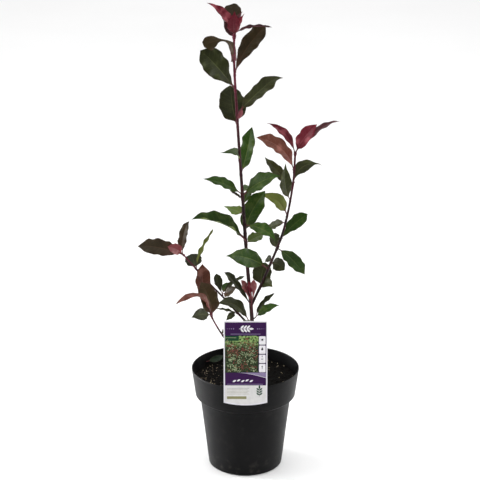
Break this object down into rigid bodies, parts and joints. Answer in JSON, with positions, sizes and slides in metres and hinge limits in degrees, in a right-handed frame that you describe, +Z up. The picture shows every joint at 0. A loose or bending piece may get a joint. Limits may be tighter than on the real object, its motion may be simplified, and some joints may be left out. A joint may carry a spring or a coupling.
{
  "type": "potted photinia shrub",
  "caption": "Young red-tip photinia shrub in a round black nursery pot: dark stems, glossy green and bronze leaves, wine-red new shoots, with a picture tag on the rim.",
  "frame": {"origin": "centre of the pot's flat underside, which is the flat face the pot stands on", "axes": "+Z up along the pot's axis and the upright main stem, -Y towards the side that the picture tag faces, +X to the right as seen from that side"},
  "size_m": [0.4177, 0.2231, 0.986],
  "materials": {
    "pot_plastic": "satin black moulded plastic, slightly dusty",
    "potting_mix": "loose dark composted bark with pale specks",
    "tag_plastic": "printed plastic sheet, smooth",
    "stem_bark": "smooth thin young bark, dark maroon",
    "foliage_green": "glossy leathery leaves, dark green with paler undersides",
    "foliage_bronze": "glossy leathery leaves, dark bronze green",
    "foliage_red": "soft glossy young leaves, wine red"
  },
  "bodies": {
    "root": {"pot": "pot_plastic", "potting_mix": "potting_mix", "plant_tag": "tag_plastic", "main_stem": "stem_bark", "stem_leaf_1": "foliage_green", "stem_leaf_2": "foliage_green", "stem_leaf_3": "foliage_green", "stem_leaf_4": "foliage_green", "stem_leaf_5": "foliage_green", "stem_leaf_6": "foliage_green", "stem_leaf_7": "foliage_green", "stem_leaf_8": "foliage_green", "stem_leaf_9": "foliage_green", "stem_leaf_10": "foliage_green", "stem_leaf_11": "foliage_green", "stem_leaf_12": "foliage_green", "stem_leaf_13": "foliage_green", "leader_top": "foliage_bronze", "right_bough": "stem_bark", "right_leaf_1": "foliage_green", "right_leaf_2": "foliage_green", "right_leaf_3": "foliage_green", "right_leaf_4": "foliage_green", "right_leaf_5": "foliage_green", "right_leaf_6": "foliage_green", "right_leaf_7": "foliage_green", "right_leaf_8": "foliage_green", "right_leaf_9": "foliage_green", "right_leaf_10": "foliage_green", "right_bough_top": "foliage_red", "left_bough": "stem_bark", "left_leaf_1": "foliage_green", "left_leaf_2": "foliage_green", "left_bough_top": "foliage_bronze", "low_left_bough": "stem_bark", "low_left_leaf_1": "foliage_green", "low_left_bough_top": "foliage_bronze", "short_shoot": "foliage_green", "centre_shoot": "foliage_red", "base_shoot_right": "foliage_green", "base_shoot_left": "foliage_green"}
  },
  "joints": []
}
